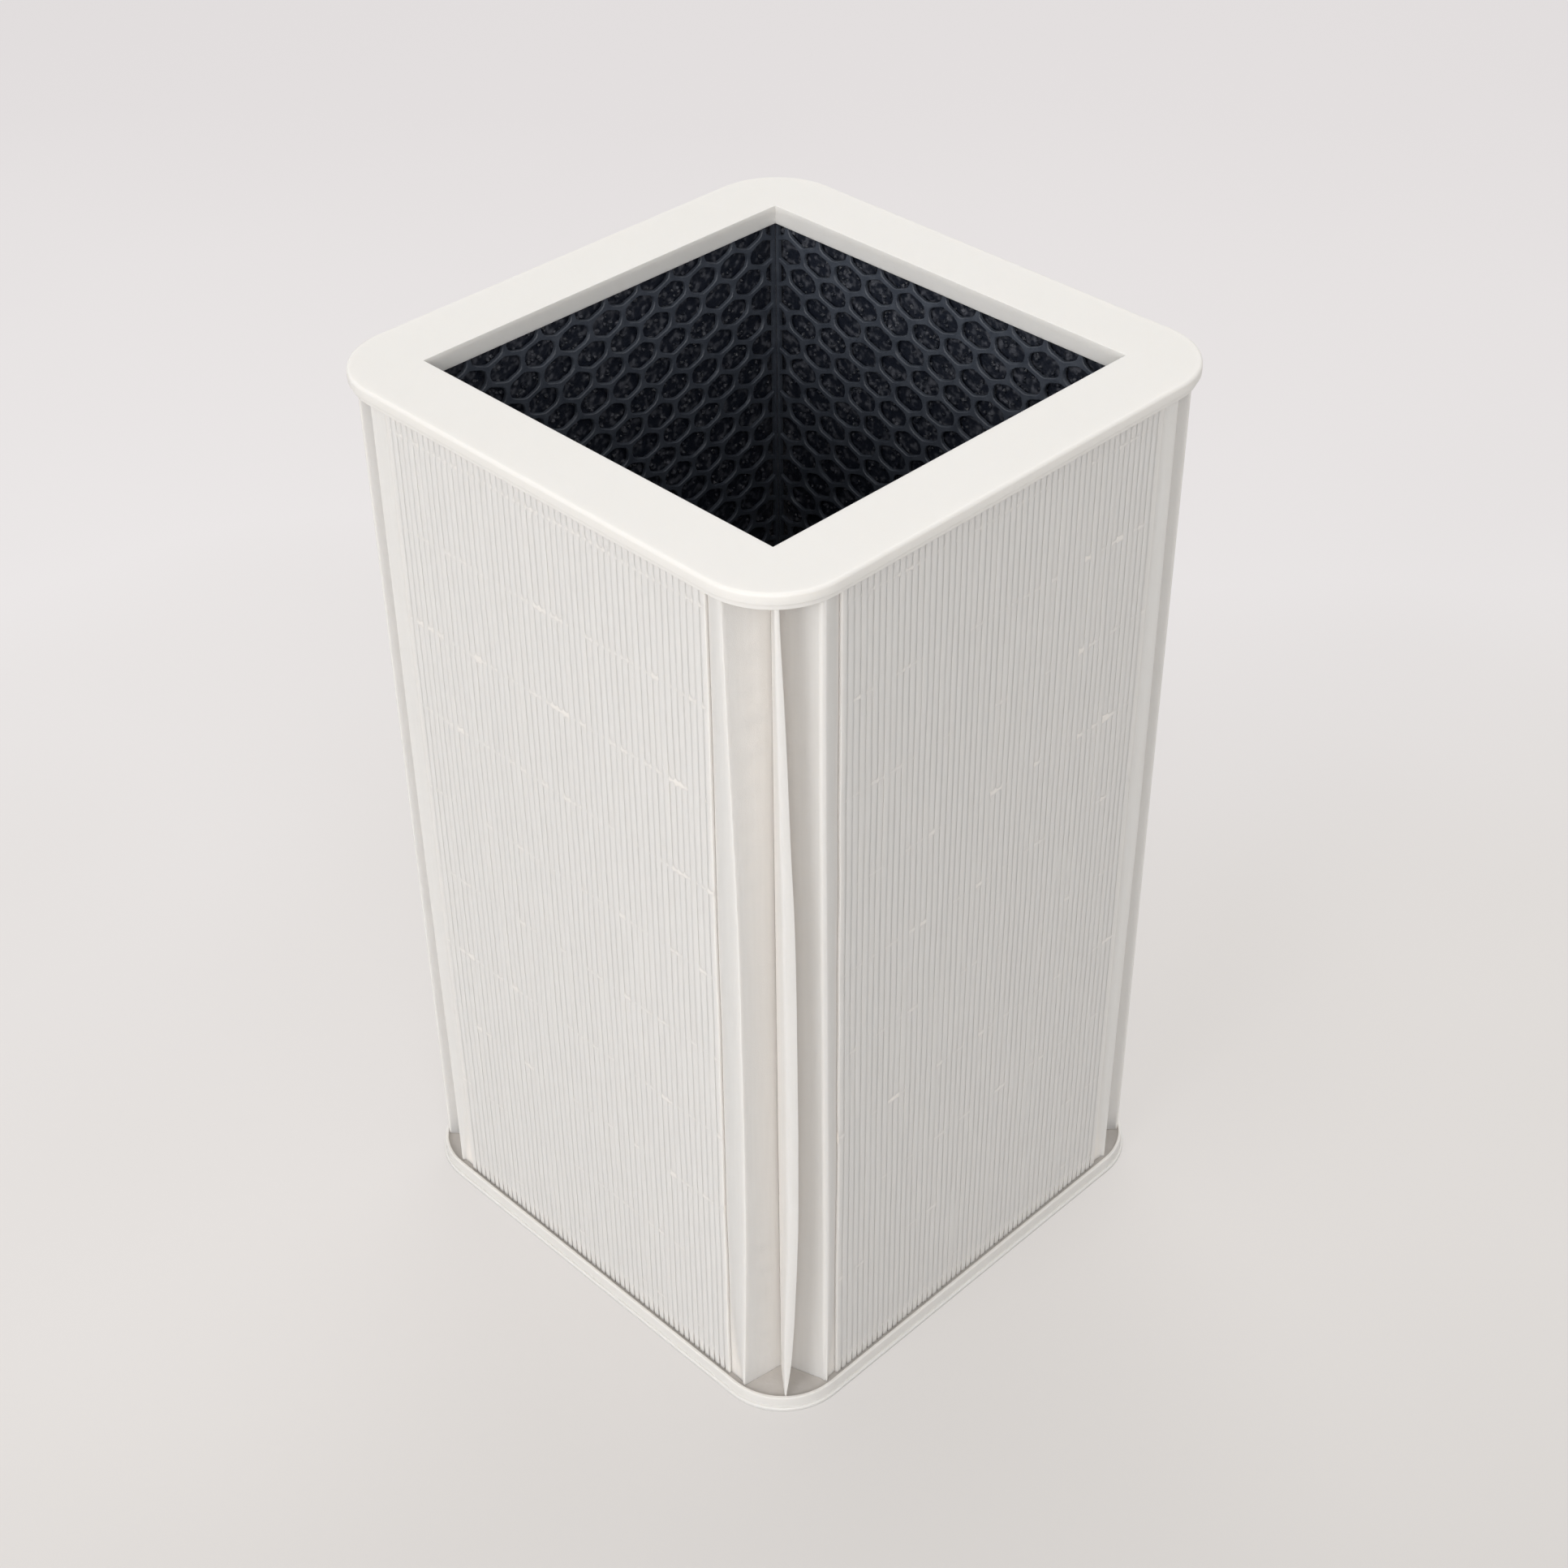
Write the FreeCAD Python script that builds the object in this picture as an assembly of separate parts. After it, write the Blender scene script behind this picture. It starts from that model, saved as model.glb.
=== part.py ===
"""Square air purifier filter: a pleated sheet wrapped round four carbon panels, between two caps.

Units are millimetres. +Z is up, and the origin is the middle of the bottom face, on the floor.
The front face looks along -Y, the right one along +X, the back one along +Y, the left one along -X.
Each side is drawn once, as (along, outward) points of the front side, and turned into place.
"""
import FreeCAD, Part
import math
import os

os.makedirs("parts", exist_ok=True)

# Overall size
CAP_WIDTH = 220.0
TOTAL_HEIGHT = 372.0
CAP_CORNER_RADIUS = 28.0
FRAME_WIDTH = 26.5

# Both caps are moulded trays: a skin, a wall round the outside and a collar round the core
SKIN = 2.0
WALL = 1.2
WALL_SETBACK = 1.0
WALL_ROUND = 0.3
COLLAR = 1.3
TOP_EDGE_HEIGHT = 4.1
TOP_EDGE_ROUND = 1.2
TOP_LOWER_ROUND = 0.4
TOP_WALL_DEPTH = 6.2
TOP_COLLAR_DEPTH = 7.1
FOOT_HEIGHT = 1.5
FOOT_ROUND = 0.4
BOTTOM_WALL_HEIGHT = 6.5
BOTTOM_COLLAR_HEIGHT = 7.1

# Adhesive beds that hold the sheet and the panels in the trays
POTTING = 3.0

# Carbon panels, from the core outwards
PANEL_CLEARANCE = 0.2
PANEL_END_GAP = 0.1
GRID = 1.4
GRANULES = 2.4
NET = 0.4

# Honeycomb cells of the grid
CELL_PITCH = 15.8
ROW_PITCH = 9.5
CELL_RIB = 2.3
CELL_SLOPE_DEG = 20.0
GRID_BORDER = 1.5
FIRST_ROW_DEPTH = 8.6
CELL_ROWS = 4
SMALLEST_CELL = 1.5

# Pleated sheet
SHEET = 0.6
SHEET_CLEARANCE = 0.2
TIP_TO_WALL = 1.5
PLEAT_PITCH = 2.86
LEAST_TIP_STEP = 9.0
LAST_TIP_PAST_BEND = 2.9
NOSE_WIDTH = 2.8
NOSE_DROP = 2.0
LAND_STEP = 0.9
LAND_DROP = 0.8

# Loose fin on each corner's diagonal, and the seam that closes the sheet in one of them
FIN_TO_WALL = 0.3
FIN_TIP_WIDTH = 3.0
FIN_ROOT_WIDTH = 1.6
FIN_ROOT_STEP = 3.75
SEAM_LENGTH = 13.0
SEAM_TO_EDGE = 0.4

# Hot-melt threads that keep the pleats apart
THREAD_HEIGHT = 2.6
THREAD_THICKNESS = 0.3
THREAD_OVERRUN = 1.0
THREAD_SPACING = 37.6
LOWEST_THREAD = 19.6
THREAD_TO_BED = 5.0

# Half widths, measured outwards from the middle axis
cap_half = CAP_WIDTH / 2
wall_half = cap_half - WALL_SETBACK
channel_half = wall_half - WALL
core_half = cap_half - FRAME_WIDTH
collar_half = core_half + COLLAR
panel_half = collar_half + PANEL_CLEARANCE
panel_end = panel_half - PANEL_END_GAP
granules_half = panel_half + GRID
net_half = granules_half + GRANULES
sheet_root = net_half + NET + SHEET_CLEARANCE
sheet_tip = channel_half - TIP_TO_WALL

# Heights above the floor
bottom_bed_top = SKIN + POTTING
top_skin_under = TOTAL_HEIGHT - SKIN
top_bed_under = top_skin_under - POTTING
media_height = top_bed_under - bottom_bed_top

# Places along a side: the middle of the end fold's nose, just past the start of the tray's bend,
# and as many regular tips between the two end folds as the pitch allows
channel_radius = CAP_CORNER_RADIUS - (cap_half - channel_half)
last_tip = channel_half - channel_radius + LAST_TIP_PAST_BEND
pleats_per_side = int(2 * (last_tip - LEAST_TIP_STEP) / PLEAT_PITCH) + 1
regular_half = PLEAT_PITCH * (pleats_per_side - 1) / 2
end_valley = regular_half + PLEAT_PITCH / 2
land_start = end_valley + LAND_STEP

# Threads on a side, from the lowest one up to the top bed
threads_per_side = int((top_bed_under - THREAD_TO_BED - LOWEST_THREAD) / THREAD_SPACING) + 1

# Distances along a corner's diagonal, and the half widths of the slit inside the fin
DIAGONAL = math.sqrt(2.0)
fin_tip = channel_half * DIAGONAL - channel_radius * (DIAGONAL - 1) - FIN_TO_WALL
fin_root = (panel_half + FIN_ROOT_STEP) * DIAGONAL
slit_tip = FIN_TIP_WIDTH / 2 - SHEET
slit_root = FIN_ROOT_WIDTH / 2 - SHEET
slit_start = fin_root - SHEET

SIDES = ("front", "right", "back", "left")
RUN_OUT = 1.0


def export(name, shape):
    """Write one piece to its own file."""
    shape.exportStep("parts/" + name + ".step")
    print(name, len(shape.Solids), "solid(s)", round(shape.Volume / 1000, 2), "cm3")


def turned(shape, quarter_turns):
    """The same shape on another side of the filter."""
    return shape.rotated(FreeCAD.Vector(0, 0, 0), FreeCAD.Vector(0, 0, 1), 90.0 * quarter_turns)


def square_prism(half, low, high):
    """Square prism with sharp upright edges."""
    return Part.makeBox(2 * half, 2 * half, high - low, FreeCAD.Vector(-half, -half, low))


def rounded_prism(half, low, high):
    """Square prism whose corners run an even distance inside the cap's own corners."""
    block = square_prism(half, low, high)
    upright = [edge for edge in block.Edges if edge.BoundBox.ZLength > (high - low) / 2]
    return block.makeFillet(CAP_CORNER_RADIUS - (cap_half - half), upright)


def edges_at(shape, height, half):
    """Edges that lie flat at a height and go round the outside of a half width."""
    found = []
    for edge in shape.Edges:
        box = edge.BoundBox
        flat = abs(box.ZMin - height) < 1e-4 and abs(box.ZMax - height) < 1e-4
        reach = max(abs(box.XMin), abs(box.XMax), abs(box.YMin), abs(box.YMax))
        if flat and abs(reach - half) < 1e-4:
            found.append(edge)
    return found


def make_top_cap():
    """Top tray: a flat frame with a square opening, its lip, and the channel for the adhesive."""
    edge_under = TOTAL_HEIGHT - TOP_EDGE_HEIGHT
    wall_under = TOTAL_HEIGHT - TOP_WALL_DEPTH
    collar_under = TOTAL_HEIGHT - TOP_COLLAR_DEPTH
    plate = rounded_prism(cap_half, edge_under, TOTAL_HEIGHT)
    plate = plate.makeFillet(TOP_EDGE_ROUND, edges_at(plate, TOTAL_HEIGHT, cap_half))
    plate = plate.makeFillet(TOP_LOWER_ROUND, edges_at(plate, edge_under, cap_half))
    wall = rounded_prism(wall_half, wall_under, top_skin_under)
    wall = wall.makeFillet(WALL_ROUND, edges_at(wall, wall_under, wall_half))
    channel = rounded_prism(channel_half, wall_under - RUN_OUT, top_skin_under)
    collar = square_prism(collar_half, collar_under, top_skin_under)
    opening = square_prism(core_half, collar_under - RUN_OUT, TOTAL_HEIGHT + RUN_OUT)
    return plate.fuse(wall).cut(channel).fuse(collar).cut(opening).removeSplitter()


def make_bottom_cap():
    """Bottom tray: a closed floor with a foot flange, the outer wall and the collar round the core."""
    foot = rounded_prism(cap_half, 0, FOOT_HEIGHT)
    foot = foot.makeFillet(FOOT_ROUND, edges_at(foot, FOOT_HEIGHT, cap_half))
    wall = rounded_prism(wall_half, 0, BOTTOM_WALL_HEIGHT)
    wall = wall.makeFillet(WALL_ROUND, edges_at(wall, BOTTOM_WALL_HEIGHT, wall_half))
    channel = rounded_prism(channel_half, SKIN, BOTTOM_WALL_HEIGHT + RUN_OUT)
    collar = square_prism(collar_half, SKIN, BOTTOM_COLLAR_HEIGHT)
    core = square_prism(core_half, SKIN, BOTTOM_COLLAR_HEIGHT + RUN_OUT)
    return foot.fuse(wall).cut(channel).fuse(collar).cut(core).removeSplitter()


def make_potting(low):
    """Adhesive bed that fills a channel between the outer wall and the collar."""
    bed = rounded_prism(channel_half, low, low + POTTING)
    return bed.cut(square_prism(collar_half, low - RUN_OUT, low + POTTING + RUN_OUT))


def make_layer(inner_half, thickness):
    """One flat layer of the front carbon panel, from bed to bed."""
    corner = FreeCAD.Vector(-panel_end, -inner_half - thickness, bottom_bed_top)
    return Part.makeBox(2 * panel_end, thickness, media_height, corner)


def clipped(outline, low_u, high_u, low_z, high_z):
    """The part of a convex outline that lies inside a rectangle."""
    for axis, limit, sense in ((0, low_u, 1), (0, high_u, -1), (1, low_z, 1), (1, high_z, -1)):
        kept = []
        for start, end in zip(outline, outline[1:] + outline[:1]):
            start_in = (start[axis] - limit) * sense >= 0
            end_in = (end[axis] - limit) * sense >= 0
            if start_in:
                kept.append(start)
            if start_in != end_in:
                share = (limit - start[axis]) / (end[axis] - start[axis])
                kept.append(tuple(a + (b - a) * share for a, b in zip(start, end)))
        outline = kept
    return outline


def cell_outline(u, z, tail):
    """Six-sided cell with a point up and a point down; a tail lengthens it downwards."""
    slope = math.radians(CELL_SLOPE_DEG)
    half_width = (CELL_PITCH - CELL_RIB) / 2
    point = (ROW_PITCH + CELL_PITCH / 2 * math.tan(slope)) / 2 - CELL_RIB / 2 / math.cos(slope)
    side = point - half_width * math.tan(slope)
    top = [(u - half_width, z + side), (u, z + point), (u + half_width, z + side)]
    bottom = [(x, 2 * z - height - tail) for x, height in reversed(top)]
    return top + bottom


def grid_cells():
    """Outlines of the grid's holes: its top rows of cells, and one long slot in each column below.

    The bars between the slots stand at the cells' own pitch, and the cross ribs are left out there.
    """
    edge_u = panel_end - GRID_BORDER
    low_z = bottom_bed_top + GRID_BORDER
    high_z = top_bed_under - GRID_BORDER
    columns = int(edge_u / CELL_PITCH) + 1
    cells = []
    for row in range(CELL_ROWS + 1):
        z = TOTAL_HEIGHT - FIRST_ROW_DEPTH - row * ROW_PITCH
        shift = 0.0 if row % 2 else CELL_PITCH / 2
        tail = media_height if row == CELL_ROWS else 0.0
        for column in range(-columns, columns + 1):
            outline = cell_outline(column * CELL_PITCH + shift, z, tail)
            outline = clipped(outline, -edge_u, edge_u, low_z, high_z)
            spans = [max(values) - min(values) for values in zip(*outline)]
            if spans and min(spans) > SMALLEST_CELL:
                cells.append(outline)
    return cells


def make_grid():
    """Honeycomb grid of the front panel."""
    border = [(-panel_end, bottom_bed_top), (panel_end, bottom_bed_top),
              (panel_end, top_bed_under), (-panel_end, top_bed_under)]
    wires = []
    for outline in [border] + grid_cells():
        points = [FreeCAD.Vector(u, -panel_half, z) for u, z in outline]
        wires.append(Part.makePolygon(points + points[:1]))
    face = Part.makeFace(wires, "Part::FaceMakerBullseye")
    return face.extrude(FreeCAD.Vector(0, -GRID, 0))


def mirrored(points):
    """Points of the left end of a side that mirror those of its right end, in walking order."""
    return [(-u, r) for u, r in reversed(points)]


def end_fold_outside():
    """Outer face of a side's right end: last valley, flat land, crest and nose of the wide fold."""
    return [(end_valley, sheet_root + SHEET), (land_start, sheet_tip - LAND_DROP),
            (last_tip - NOSE_WIDTH / 2, sheet_tip), (last_tip + NOSE_WIDTH / 2, sheet_tip - NOSE_DROP)]


def end_fold_inside():
    """Inner face of a side's right end, one sheet thickness inside the outer one."""
    return [(end_valley - SHEET, sheet_root), (end_valley + SHEET, sheet_root),
            (land_start + SHEET, sheet_tip - LAND_DROP - SHEET),
            (last_tip - NOSE_WIDTH / 2, sheet_tip - SHEET),
            (last_tip + NOSE_WIDTH / 2 - SHEET, sheet_tip - NOSE_DROP - SHEET)]


def regular_tips():
    """Places of a side's regular tips."""
    return [index * PLEAT_PITCH - regular_half for index in range(pleats_per_side)]


def side_outside():
    """The sheet's outer face along one side: flat tips, and valleys that end in a crease."""
    points = []
    for index, u in enumerate(regular_tips()):
        if index:
            points.append((u - PLEAT_PITCH / 2, sheet_root + SHEET))
        points += [(u - SHEET, sheet_tip), (u + SHEET, sheet_tip)]
    return mirrored(end_fold_outside()) + points + end_fold_outside()


def side_inside():
    """The sheet's inner face along one side: flat roots, and creases inside the tips."""
    points = []
    for index, u in enumerate(regular_tips()):
        if index:
            middle = u - PLEAT_PITCH / 2
            points += [(middle - SHEET, sheet_root), (middle + SHEET, sheet_root)]
        points.append((u, sheet_tip - SHEET))
    return mirrored(end_fold_inside()) + points + end_fold_inside()


def on_diagonal(distance, aside):
    """Point of the front side's right corner, aside of the diagonal towards the right side."""
    return ((distance + aside) / DIAGONAL, (distance - aside) / DIAGONAL)


def slit_half(distance):
    """Half width of the slit inside the fin, at a distance along the diagonal."""
    share = (distance - slit_start) / (fin_tip - slit_start)
    return slit_root + (slit_tip - slit_root) * share


def fin_outside(tip_distance):
    """Outer face from the well's foot to the fin's tip."""
    return [on_diagonal(fin_root, -FIN_ROOT_WIDTH / 2), on_diagonal(tip_distance, -FIN_TIP_WIDTH / 2)]


def fin_inside(tip_distance):
    """Inner face from the well's foot, round the turn and up the slit."""
    foot_u, foot_r = on_diagonal(fin_root, -FIN_ROOT_WIDTH / 2)
    turn = (foot_u - SHEET, foot_r - SHEET / 2)
    slit = [on_diagonal(d, -slit_half(d)) for d in (slit_start, tip_distance)]
    return [turn] + slit


def to_plan(points, quarter_turns):
    """Front-side (along, outward) points as plan points of another side."""
    cosine, sine = ((1, 0), (0, 1), (-1, 0), (0, -1))[quarter_turns % 4]
    return [(u * cosine + r * sine, u * sine - r * cosine) for u, r in points]


def make_pleated_sheet():
    """One folded sheet round all four sides, whose two ends stand together in the back left corner."""
    outside = []
    inside = []
    for turn in (3, 4, 5, 6):
        outer = mirrored(fin_outside(fin_tip)) + side_outside() + fin_outside(fin_tip)
        start_tip = fin_tip if turn == 3 else fin_tip - SHEET
        end_tip = fin_tip if turn == 6 else fin_tip - SHEET
        inner = mirrored(fin_inside(start_tip)) + side_inside() + fin_inside(end_tip)
        outside += to_plan(outer, turn)
        inside += to_plan(inner, turn)
    points = [FreeCAD.Vector(x, y, bottom_bed_top) for x, y in outside + inside[::-1]]
    return Part.Face(Part.makePolygon(points + points[:1])).extrude(FreeCAD.Vector(0, 0, media_height))


def make_seam_bead():
    """Adhesive line between the sheet's two ends, in the fin of the back left corner."""
    high = fin_tip - SEAM_TO_EDGE
    low = high - SEAM_LENGTH
    section = [on_diagonal(low, -slit_half(low)), on_diagonal(high, -slit_half(high)),
               on_diagonal(high, slit_half(high)), on_diagonal(low, slit_half(low))]
    points = [FreeCAD.Vector(x, y, bottom_bed_top) for x, y in to_plan(section, 2)]
    return Part.Face(Part.makePolygon(points + points[:1])).extrude(FreeCAD.Vector(0, 0, media_height))


def make_threads():
    """Hot-melt threads of the front side, as separate solids that lie on its regular tips."""
    half_length = regular_half + THREAD_OVERRUN
    threads = []
    for index in range(threads_per_side):
        low = LOWEST_THREAD + index * THREAD_SPACING - THREAD_HEIGHT / 2
        corner = FreeCAD.Vector(-half_length, -sheet_tip - THREAD_THICKNESS, low)
        threads.append(Part.makeBox(2 * half_length, THREAD_THICKNESS, THREAD_HEIGHT, corner))
    return Part.makeCompound(threads)


export("top_cap", make_top_cap())
export("bottom_cap", make_bottom_cap())
export("top_potting", make_potting(top_bed_under))
export("bottom_potting", make_potting(SKIN))
export("pleated_sheet", make_pleated_sheet())
export("seam_bead", make_seam_bead())

side_pieces = {
    "carbon_lattice": make_grid(),
    "granule_bed": make_layer(granules_half, GRANULES),
    "retaining_net": make_layer(net_half, NET),
    "spacer_beads": make_threads(),
}
for piece, shape in side_pieces.items():
    for quarter_turns, side in enumerate(SIDES):
        export(piece + "_" + side, turned(shape, quarter_turns))
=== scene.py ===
# %% [markdown]
# Square air purifier filter.
# A white sheet is folded into narrow upright pleats and wrapped round four dark honeycomb panels
# with carbon granules behind them. Two moulded trays hold the ends. Air goes in through the pleats
# and leaves through the open core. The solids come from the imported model, and this script dresses
# them.

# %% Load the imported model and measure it
import math

import bmesh
import bpy
import numpy as np
from mathutils import Matrix, Vector


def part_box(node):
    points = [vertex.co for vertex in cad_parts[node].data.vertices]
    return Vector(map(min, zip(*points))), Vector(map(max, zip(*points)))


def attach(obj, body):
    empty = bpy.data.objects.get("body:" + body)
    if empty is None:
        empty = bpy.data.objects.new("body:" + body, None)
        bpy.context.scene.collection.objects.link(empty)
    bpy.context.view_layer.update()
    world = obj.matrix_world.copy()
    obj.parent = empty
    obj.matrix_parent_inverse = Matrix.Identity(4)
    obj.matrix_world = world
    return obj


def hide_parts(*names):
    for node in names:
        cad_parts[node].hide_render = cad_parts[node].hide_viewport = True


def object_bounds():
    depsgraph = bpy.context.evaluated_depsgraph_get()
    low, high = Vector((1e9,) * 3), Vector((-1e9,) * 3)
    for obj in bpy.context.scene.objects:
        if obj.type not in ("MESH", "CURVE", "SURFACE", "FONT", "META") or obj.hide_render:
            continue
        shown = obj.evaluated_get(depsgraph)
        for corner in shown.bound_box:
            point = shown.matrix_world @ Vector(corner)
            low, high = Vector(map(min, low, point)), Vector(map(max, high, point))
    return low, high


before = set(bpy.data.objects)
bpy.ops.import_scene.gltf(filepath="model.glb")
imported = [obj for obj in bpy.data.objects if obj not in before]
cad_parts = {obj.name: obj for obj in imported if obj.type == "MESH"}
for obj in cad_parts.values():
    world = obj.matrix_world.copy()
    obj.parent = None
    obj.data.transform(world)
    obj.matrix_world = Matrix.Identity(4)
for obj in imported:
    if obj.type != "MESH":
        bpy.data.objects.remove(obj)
cad_low, cad_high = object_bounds()

MM = 0.001
SIDES = ("front", "right", "back", "left")
# The sheet's roots stand this far off the net
NET_CLEARANCE = 0.2 * MM
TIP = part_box("pleated_sheet")[1].x
MEDIA_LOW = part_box("pleated_sheet")[0].z
MEDIA_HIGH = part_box("pleated_sheet")[1].z
GRID_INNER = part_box("carbon_lattice_right")[0].x
GRID_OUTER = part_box("carbon_lattice_right")[1].x
PANEL_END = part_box("carbon_lattice_right")[1].y
BED_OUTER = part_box("granule_bed_right")[1].x
SHEET_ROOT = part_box("retaining_net_right")[1].x + NET_CLEARANCE
HEIGHT = cad_high.z
print("height", round(HEIGHT / MM, 1), "mm, pleat tips", round(TIP / MM, 2), "mm from the axis")

# %% [markdown]
# The camera stands where the photograph was taken from. Its place and its three axes were worked
# out from the object's straight edges. A lens of 36 mm times focal length over image width gives
# the same angle of view in any image size.

# %% Camera
FOCAL_PX = 3156.74
IMAGE_PX = 1932.0
CAMERA_PLACE = Vector((0.548504, -0.539093, 0.785881))
CAMERA_RIGHT = Vector((0.70713, 0.70704, -0.00821))
CAMERA_UP = Vector((-0.42815, 0.43738, 0.79081))
CAMERA_BACK = Vector((0.56273, -0.55569, 0.612))
SENSOR = 36.0

camera_data = bpy.data.cameras.new("camera")
camera_data.sensor_width = SENSOR
camera_data.lens = FOCAL_PX / IMAGE_PX * SENSOR
camera = bpy.data.objects.new("camera", camera_data)
bpy.context.scene.collection.objects.link(camera)
turn = Matrix((CAMERA_RIGHT, CAMERA_UP, CAMERA_BACK)).transposed()
camera.matrix_world = Matrix.Translation(CAMERA_PLACE) @ turn.to_4x4()
bpy.context.scene.camera = camera
print("lens", round(camera_data.lens, 2), "mm")

# %% [markdown]
# Small helpers. A mesh is made from plain lists of points, edges and faces, and linked to the scene.
# Each finished piece sits at the origin with its place in its mesh.


# %% Helpers for meshes
def link(name, mesh):
    """Put a mesh into the scene as an object of that name."""
    piece = bpy.data.objects.new(name, mesh)
    bpy.context.scene.collection.objects.link(piece)
    return piece


def mesh_from(name, points, edges, faces):
    """Mesh from lists of points, edges and faces."""
    mesh = bpy.data.meshes.new(name)
    mesh.from_pydata(points, edges, faces)
    return mesh


def smooth_by_angle(mesh, degrees):
    """Smooth shading, with edges sharper than the angle kept crisp."""
    mesh.shade_smooth()
    mesh.set_sharp_from_angle(angle=math.radians(degrees))


def only_material(mesh, material):
    """One material on every face of a mesh."""
    mesh.materials.clear()
    mesh.materials.append(material)
    mesh.polygons.foreach_set("material_index", [0] * len(mesh.polygons))


def dress(nodes, material):
    """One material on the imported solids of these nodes."""
    for node in nodes:
        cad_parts[node].data.materials.clear()
        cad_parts[node].data.materials.append(material)


def side_turn(index):
    """Turn from the front side to side number index."""
    return Matrix.Rotation(math.radians(90 * index), 4, "Z")


# %% [markdown]
# A finish is a material with a few nodes. Every finish here has some unevenness in its colour and
# its surface, at the scale that the real stuff shows. All of it comes from one shared node group, a
# soft mottle, which each finish uses at scales of its own.


# %% Shared shader group
MOTTLE_DETAIL = 3.0


def make_mottle():
    """Value round 0 that drifts over the surface: large soft patches plus smaller ones."""
    group = bpy.data.node_groups.new("mottle", "ShaderNodeTree")
    group.interface.new_socket("Vector", in_out="INPUT", socket_type="NodeSocketVector")
    for label, value in (("Scale", 20.0), ("Detail", MOTTLE_DETAIL)):
        socket = group.interface.new_socket(label, in_out="INPUT", socket_type="NodeSocketFloat")
        socket.default_value = value
    group.interface.new_socket("Value", in_out="OUTPUT", socket_type="NodeSocketFloat")
    entry = group.nodes.new("NodeGroupInput")
    leave = group.nodes.new("NodeGroupOutput")
    noise = group.nodes.new("ShaderNodeTexNoise")
    shift = group.nodes.new("ShaderNodeMath")
    shift.operation = "SUBTRACT"
    shift.inputs[1].default_value = 0.5
    for label in ("Vector", "Scale", "Detail"):
        group.links.new(entry.outputs[label], noise.inputs[label])
    group.links.new(noise.outputs["Fac"], shift.inputs[0])
    group.links.new(shift.outputs[0], leave.inputs["Value"])
    return group


MOTTLE = make_mottle()
print("shader group", MOTTLE.name)


# %% Helpers for materials
def new_material(name, color, roughness):
    """Material with a plain Principled shader; returns it with its tree and shader."""
    material = bpy.data.materials.new(name)
    material.use_nodes = True
    shader = material.node_tree.nodes["Principled BSDF"]
    shader.inputs["Base Color"].default_value = (*color, 1.0)
    shader.inputs["Roughness"].default_value = roughness
    return material, material.node_tree, shader


def object_coordinates(tree, stretch=(1.0, 1.0, 1.0)):
    """Object coordinates, stretched along the axes."""
    place = tree.nodes.new("ShaderNodeTexCoord")
    mapping = tree.nodes.new("ShaderNodeMapping")
    mapping.inputs["Scale"].default_value = stretch
    tree.links.new(place.outputs["Object"], mapping.inputs["Vector"])
    return mapping.outputs["Vector"]


def mottle_value(tree, vector, scale, detail=MOTTLE_DETAIL):
    """One mottle group in a material, at its own scale."""
    node = tree.nodes.new("ShaderNodeGroup")
    node.node_tree = MOTTLE
    node.inputs["Scale"].default_value = scale
    node.inputs["Detail"].default_value = detail
    tree.links.new(vector, node.inputs["Vector"])
    return node.outputs["Value"]


def scaled(tree, value, factor, offset):
    """value times factor plus offset."""
    node = tree.nodes.new("ShaderNodeMath")
    node.operation = "MULTIPLY_ADD"
    tree.links.new(value, node.inputs[0])
    node.inputs[1].default_value = factor
    node.inputs[2].default_value = offset
    return node.outputs[0]


def tinted(tree, value, dark, light):
    """Colour between dark and light, by a value from 0 to 1."""
    ramp = tree.nodes.new("ShaderNodeValToRGB")
    ramp.color_ramp.elements[0].color = (*dark, 1.0)
    ramp.color_ramp.elements[1].color = (*light, 1.0)
    tree.links.new(value, ramp.inputs["Fac"])
    return ramp.outputs["Color"]


def color_by(tree, shader, value, dark, light):
    """Base colour between dark and light, by a value from 0 to 1."""
    tree.links.new(tinted(tree, value, dark, light), shader.inputs["Base Color"])


def add_bump(tree, shader, height, strength, distance):
    """Bump from a height value, into the shader's normal."""
    bump = tree.nodes.new("ShaderNodeBump")
    bump.inputs["Strength"].default_value = strength
    bump.inputs["Distance"].default_value = distance
    tree.links.new(height, bump.inputs["Height"])
    tree.links.new(bump.outputs["Normal"], shader.inputs["Normal"])


# %% [markdown]
# The two trays are injection moulded in a warm white plastic with a fine satin texture. The mould
# leaves a hardly visible grain, so the highlight is soft, and large faces are never quite even.

# %% Tray plastic
CAP_WHITE = (0.85, 0.83, 0.80)
CAP_SHADE = (0.825, 0.805, 0.77)


def make_cap_plastic():
    material, tree, shader = new_material("tray_plastic", CAP_WHITE, roughness=0.42)
    vector = object_coordinates(tree)
    patches = mottle_value(tree, vector, scale=14.0)
    color_by(tree, shader, scaled(tree, patches, factor=1.2, offset=0.5), CAP_SHADE, CAP_WHITE)
    rough = mottle_value(tree, vector, scale=60.0)
    tree.links.new(scaled(tree, rough, factor=0.14, offset=0.43), shader.inputs["Roughness"])
    grain = mottle_value(tree, vector, scale=1800.0, detail=2.0)
    add_bump(tree, shader, grain, strength=0.12, distance=0.0002)
    shader.inputs["Specular IOR Level"].default_value = 0.4
    shader.inputs["Subsurface Weight"].default_value = 0.5
    shader.inputs["Subsurface Radius"].default_value = (1.0, 0.95, 0.88)
    shader.inputs["Subsurface Scale"].default_value = 0.004
    return material


CAP_PLASTIC = make_cap_plastic()
dress(("top_cap", "bottom_cap"), CAP_PLASTIC)
print("trays finished in", CAP_PLASTIC.name)

# %% [markdown]
# The beds of adhesive were poured into the trays as a liquid and set to a matte, slightly greyer
# skin. They show only in the corners, beside the loose fin of the sheet.

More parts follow.
